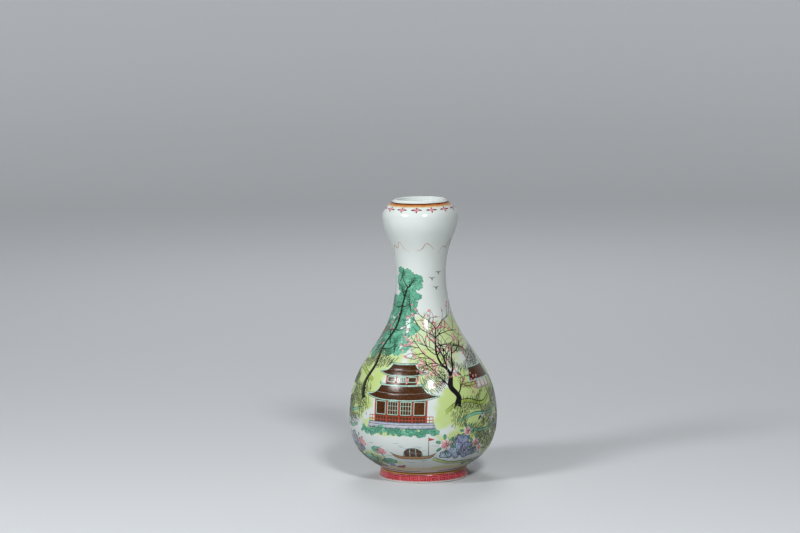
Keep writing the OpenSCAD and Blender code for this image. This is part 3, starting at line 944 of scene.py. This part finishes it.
def garden_front():
    leafy_tree(Spot(-56, 64), [(0, 0), (-3, 12), (1, 26), (-1, 40), (4, 56), (5, 74), (8, 88)],
               [(-7, 40, 12, 8), (11, 43, 11, 7), (2, 50, 13, 8), (-9, 56, 8, 8), (13, 58, 9, 8),
                (3, 66, 11, 8), (-6, 74, 7, 7), (11, 76, 8, 7), (4, 84, 8, 7), (11, 91, 6, 6),
                (3, 96, 6, 5)], 31)
    plum_tree(Spot(28, 60, 1.2), 32,
              [((-5, 27), 100, 24, 1.6), ((-1, 19), 45, 21, 1.5), ((-2.5, 12), 150, 15, 1.1),
               ((-4, 25), 138, 18, 1.2), ((-2, 21), 72, 26, 1.3), ((1.2, 7), 25, 14, 1.0)])
    pavilion(Spot(-19, 49, 1.15))
    shrubs(-22, 42, 33)
    hut(Spot(62, 70, 1.15))
    boat(Spot(-9, 21, 1.25))
    lotus_bed(Spot(-48, 23, 1.5), [(-12, 2, 4.5), (-4, -3, 5.5), (4, 3, 4), (8, -4, 4.5), (-14, -6, 4)],
              [(-7, 4, 4.2), (6, 1, 3.6), (-13, 0, 3.4)], 34)
    duck(Spot(-24, 13, 1.2), red, IRON_RED, IRON_RED)
    duck(Spot(-34, 14, 1.2, mirror=True), lilac, LILAC, BLUE)
    water(Spot(-20, 24), 38, 10, 50, 35)
    contour(Spot(45, 66), [(-26, -9), (-16, -3), (-4, -2), (8, -5), (22, 2), (38, 6)], 0.8, LIME_DEEP)
    contour(Spot(58, 58), [(-28, -8), (-12, -4), (4, -5), (18, -1), (32, 0)], 0.7, TURQUOISE_LIGHT, 2.0)
    contour(Spot(64, 48), [(-26, -4), (-10, -7), (6, -5), (24, -8)], 0.7, TURQUOISE_LIGHT, 2.0)
    contour(Spot(48, 20), [(-34, 3), (-17, -3), (-2, -4), (14, -8), (34, -7)], 0.9, LIME)
    rockery(Spot(31, 23, 1.25), 38, [(-10, 8, 3.6), (11, 7, 3.2), (15, 3, 2.8), (4, 15, 3.0)])
    crane(Spot(53, 44, 1.2))
    crane(Spot(66, 40, 1.1, mirror=True))
    fence(Spot(36, 72), 16, 4.5)
    contour(Spot(-78, 84), [(-26, -8), (-14, -1), (0, 2), (12, -1), (24, -6)], 0.7, LIME_DEEP)
    contour(Spot(-76, 54), [(-26, -2), (-12, 3), (2, 1), (16, 4)], 0.7, TURQUOISE_LIGHT, 2.0)
    contour(Spot(-84, 44), [(-24, 0), (-8, 3), (8, -1), (22, 2)], 0.7, TURQUOISE_LIGHT, 2.0)
    rockery(Spot(-70, 26, 0.9), 53, [(-8, 9, 3.2), (9, 8, 3.4)])
    contour(Spot(-44, 9.2), [(-26, 1.5), (-14, 0), (0, 0.6), (12, -0.2), (24, 0.2)], 1.5)
    contour(Spot(50, 9.2), [(-20, 0), (-8, 0.4), (4, 0), (14, 0.8), (24, 1.4)], 1.3)
    for angle, height in ((26, 150), (44, 154), (36, 143)):
        swallow(Spot(angle, height, 0.9))


def garden_back():
    leafy_tree(Spot(196, 62), [(0, 0), (3, 12), (-2, 28), (1, 42), (-5, 60), (-6, 78)],
               [(8, 38, 12, 8), (-10, 42, 11, 7), (0, 50, 13, 8), (10, 56, 8, 7), (-11, 58, 9, 8),
                (-3, 66, 10, 8), (-9, 76, 8, 7), (1, 80, 7, 6)], 41)
    pavilion(Spot(150, 48, 1.1, mirror=True))
    shrubs(152, 41, 42)
    bridge(Spot(214, 30, 1.15))
    bamboo(Spot(108, 36, 1.15), [(-7, 52, 0.06), (-2, 62, 0.02), (4, 48, -0.05), (9, 56, -0.1)], 43)
    rockery(Spot(106, 26, 1.2), 44, [(-10, 6, 3.2), (10, 7, 3.6)])
    rockery(Spot(254, 28, 1.1), 45, [(-9, 9, 3.4), (8, 9, 3.0), (13, 4, 2.8)])
    plum_tree(Spot(240, 60, 1.15, mirror=True), 46,
              [((-5, 27), 100, 22, 1.5), ((-1, 19), 45, 19, 1.4), ((-2, 21), 75, 22, 1.2)])
    lotus_bed(Spot(172, 21, 1.4), [(-12, 2, 4.5), (-4, -3, 5.5), (5, 2, 4), (12, -3, 4.5)],
              [(-7, 5, 4.2), (7, 3, 3.6)], 47)
    boat(Spot(134, 20, 1.15, mirror=True))
    water(Spot(165, 24), 44, 10, 50, 48)
    contour(Spot(225, 66), [(-34, -4), (-18, 0), (0, 2), (18, -2), (34, -6)], 0.8, LIME_DEEP)
    contour(Spot(232, 52), [(-26, 0), (-8, 3), (8, 0), (26, 3)], 0.7, TURQUOISE_LIGHT, 2.0)
    contour(Spot(178, 9.2), [(-44, 1), (-26, 0), (-8, 0.6), (14, -0.2), (30, 0), (44, 1)], 1.3)
    crane(Spot(226, 54, 1.15))
    swallow(Spot(180, 146, 0.9))


# Fired bands, florets and fret

def fired_band(name, low, high, lift, stops, material, node, seed):
    """A painted ring between two climbs; its colours are stops of (share of its width, colour)."""
    columns, waver = 320, 0.08
    turns = even_turns(columns)
    shares = np.concatenate([[0], np.linspace(0.04, 0.96, 9), [1]])
    rows = np.concatenate([shares, shares[-2:0:-1]])
    lifts = np.where((rows > 0) & (rows < 1), lift, SUNK)
    lifts[len(shares):] = UNDER
    edges = [edge + waver * wobble(turns, 0 * turns, seed + k, 16) for k, edge in enumerate((low, high))]
    climb = edges[0] + rows[:, None] * (edges[1] - edges[0])
    places = around(np.tile(turns, len(rows)), *profile(climb.ravel(), np.repeat(lifts, columns)))
    at, colours = zip(*stops)
    paint = np.stack([np.interp(rows, at, channel) for channel in np.transpose(colours)], 1)
    make_piece(name, places, ring_faces(len(rows), columns), np.repeat(paint, columns, axis=0),
               material, [node])


def divided(points):
    """A line with its straight stretches in short steps and its corners kept."""
    step = 1.2
    points = np.asarray(points, float)
    parts = [np.linspace(a, b, max(2, math.ceil(math.dist(a, b) / step) + 1))[:-1]
             for a, b in zip(points, points[1:])]
    return np.vstack([*parts, points[-1:]])


def rim_florets():
    """A ring of cross-shaped florets below the rim band."""
    count, first, height = 14, -5.7, 201.6
    arms = ((0, 0.4, 1.8, 1.4), (180, 0.4, 1.8, 1.4), (90, 0.3, 2.3, 1.5), (270, 0.3, 2.3, 1.5))
    for k in range(count):
        place = Spot(first + 360 * k / count, height)
        florets.blob(place, ellipse(0, 0, 2.6, 2.1), ROSE_PALE, GLAZE, 1.0)
        for heading, near, far, width in arms:
            line = [polar(0, 0, heading, near), polar(0, 0, heading, far)]
            rose.stroke(place, line, [0.5 * width, width, 0.5 * width], FLORET)
        for way in (-1, 1):
            ink_lines.stroke(place, [(1.6 * way, 0.1), (4.0 * way, -0.1)], [0.9, 1.5, 0.7], FLORET_DARK)
            ink_lines.stroke(place, [(0, 1.2 * way), (0, 2.5 * way)], [0.6, 1.3, 0.6], FLORET_DARK)


def foot_fret():
    """A pale gilt key fret round the foot: square spirals with a bar between them."""
    count, middle = 28, 3.5
    half_w = math.pi * radius_at(climb_to(middle)) / count
    spiral = divided([(-3.0, -1.9), (-3.0, 1.9), (3.0, 1.9), (3.0, -1.9), (-1.8, -1.9),
                      (-1.8, 0.7), (1.8, 0.7), (1.8, -0.7), (-0.5, -0.7)])
    bar = divided([(half_w, -2.1), (half_w, 2.1)])
    for k in range(count):
        place = Spot(360 * k / count, middle, mirror=k % 2 == 0)
        fret.stroke(place, spiral, 0.36, step=0)
        fret.stroke(place, bar, 0.34, step=0)


def bands():
    fired_band("foot_band", climb_to(0.9), climb_to(6.2), 0.18,
               [(0, WHITE), (0.07, ROSE_PALE), (0.12, RUBY), (0.5, FOOT_ROSE), (1, RUBY)],
               band_material, "foot_red_band", 61)
    # The dark brown stretch of the foot line, where the foot meets the belly, is a dark outline with
    # painted shade of that corner in it; the gold below it is the line's own gilding.
    fired_band("foot_line", FOOT_CLIMB - 1.2, FOOT_CLIMB + 1.1, 0.16,
               [(0, OCHRE_DEEP), (0.06, GILT), (0.38, GILT), (0.46, RIM_BROWN), (0.9, RIM_BROWN),
                (1, OCHRE_PALE)],
               gilt_material, "foot_gilt_line", 63)
    fired_band("rim_line", LIP_CLIMB - 1.2, LIP_CLIMB, 0.14, [(0, RIM_BROWN), (1, RIM_BROWN)],
               enamel_material, "rim_brown_line", 65)
    # The rim band is ochre enamel that fades softly into the glaze at its lower edge; its deeper top and
    # paler lower part are a painted reflection.
    fired_band("rim_band", LIP_CLIMB - 4.2, LIP_CLIMB - 1.1, 0.12,
               [(0, mix(GLAZE, YELLOW_PALE, 0.4)), (0.22, YELLOW_PALE), (0.5, OCHRE), (1, OCHRE_DEEP)],
               enamel_material, "rim_ochre_band", 67)


far_hills()
garden_front()
garden_back()
for angle, height, *bank in BANKS:
    hatch(Spot(angle, height), *bank)
rim_florets()
foot_fret()
bands()
for layer in LAYERS:
    layer.fire()


# Camera, light and floor

def place_camera():
    """The photograph's view: a long lens, a little above the vase, with a slight roll."""
    frame_w, focal_px, sensor = 800, 3033, 36.0
    distance, height = 2.231, 0.4336
    pitch, yaw, roll = math.radians(7.06), -0.0069, -0.0167
    right = Vector((math.cos(yaw), -math.sin(yaw), 0))
    level = Vector((math.sin(yaw), math.cos(yaw), 0))
    forward = math.cos(pitch) * level - math.sin(pitch) * Vector((0, 0, 1))
    up = math.sin(pitch) * level + math.cos(pitch) * Vector((0, 0, 1))
    axes = (math.cos(roll) * right + math.sin(roll) * up,
            math.cos(roll) * up - math.sin(roll) * right, -forward)
    data = bpy.data.cameras.new("camera")
    data.sensor_width = sensor
    data.sensor_fit = "HORIZONTAL"
    data.lens = sensor * focal_px / frame_w
    camera = add_object("camera", data)
    camera.matrix_world = Matrix.Translation((0, -distance, height)) @ Matrix(axes).transposed().to_4x4()
    bpy.context.scene.camera = camera


MID_HEIGHT = 0.11  # in m, where the lamps point


def softbox(name, azimuth, elevation, distance, size, power):
    """A square lamp that faces the vase. Azimuth is in degrees to the viewer's right of the front.

    Elevation is in degrees, distance and size are in m, and power is in W.
    """
    (cos_a, sin_a), (cos_e, sin_e) = cos_sin(azimuth), cos_sin(elevation)
    toward = Vector((sin_a * cos_e, -cos_a * cos_e, sin_e))
    data = bpy.data.lights.new(name, "AREA")
    data.size = size
    data.energy = power
    lamp = add_object(name, data)
    lamp.location = Vector((0, 0, MID_HEIGHT)) + distance * toward
    lamp.rotation_euler = toward.to_track_quat("Z", "Y").to_euler()
    return lamp


def light_studio():
    softbox("key_left", -52, 34, 1.3, 0.32, 7)
    softbox("key_right", 16, 36, 1.4, 0.22, 9)
    softbox("front_fill", -24, 5, 4.0, 2.67, 51).visible_glossy = False
    softbox("back", 180, 45, 1.7, 0.7, 8)
    world = bpy.data.worlds.new("studio")
    world.use_nodes = True
    world.node_tree.nodes["Background"].inputs["Color"].default_value = (0.80, 0.83, 0.87, 1)
    world.node_tree.nodes["Background"].inputs["Strength"].default_value = 0.07
    bpy.context.scene.world = world


def floor_material():
    """Pale where it is seen, greyer for the light that it throws back. Its glow grows with distance."""
    seen_colour, bounce_colour, glow_from, glow_to, glow = "dfe3e7", "8a8c8e", 0.3, 3.4, 0.42
    material, tree, shader = new_material("pale_floor", Roughness=0.9)
    rays = add_node(tree, "LightPath").outputs
    seen = add_node(tree, "Math", {0: rays["Is Camera Ray"], 1: rays["Is Glossy Ray"]}).outputs[0]
    either = {0: seen, 1: rays["Is Transmission Ray"]}
    seen = add_node(tree, "Math", either, use_clamp=True).outputs[0]
    shades = {0: seen, 6: (*ink(bounce_colour), 1), 7: (*ink(seen_colour), 1)}
    shade = add_node(tree, "Mix", shades, data_type="RGBA").outputs[2]
    tree.links.new(shade, shader.inputs["Base Color"])
    place = add_node(tree, "TexCoord").outputs["Object"]
    reach = add_node(tree, "VectorMath", {0: place}, operation="LENGTH").outputs["Value"]
    far = {"Value": reach, "From Min": glow_from, "From Max": glow_to, "To Min": 0.0, "To Max": glow}
    share = add_node(tree, "MapRange", far, interpolation_type="SMOOTHSTEP").outputs[0]
    share = add_node(tree, "Math", {0: share, 1: seen}, operation="MULTIPLY").outputs[0]
    tree.links.new(share, shader.inputs["Emission Strength"])
    shader.inputs["Emission Color"].default_value = (*ink(seen_colour), 1)
    return material


def sweep_floor():
    """A pale floor that curves up into a backdrop, in metres."""
    half_w, front, bend, back, rise = 6.0, -8.0, 2.0, 1.6, 4.0
    arc = [(bend + back * math.sin(t), back - back * math.cos(t)) for t in np.linspace(0, math.pi / 2, 24)]
    line = [(front, 0.0), *arc, (bend + back, rise)]
    verts = [(x, y, z) for y, z in line for x in (-half_w, half_w)]
    faces = [(2 * i, 2 * i + 1, 2 * i + 3, 2 * i + 2) for i in range(len(line) - 1)]
    floor = add_mesh("floor", verts, faces, floor_material())


place_camera()
light_studio()
sweep_floor()
bpy.context.scene.view_settings.view_transform = "Standard"
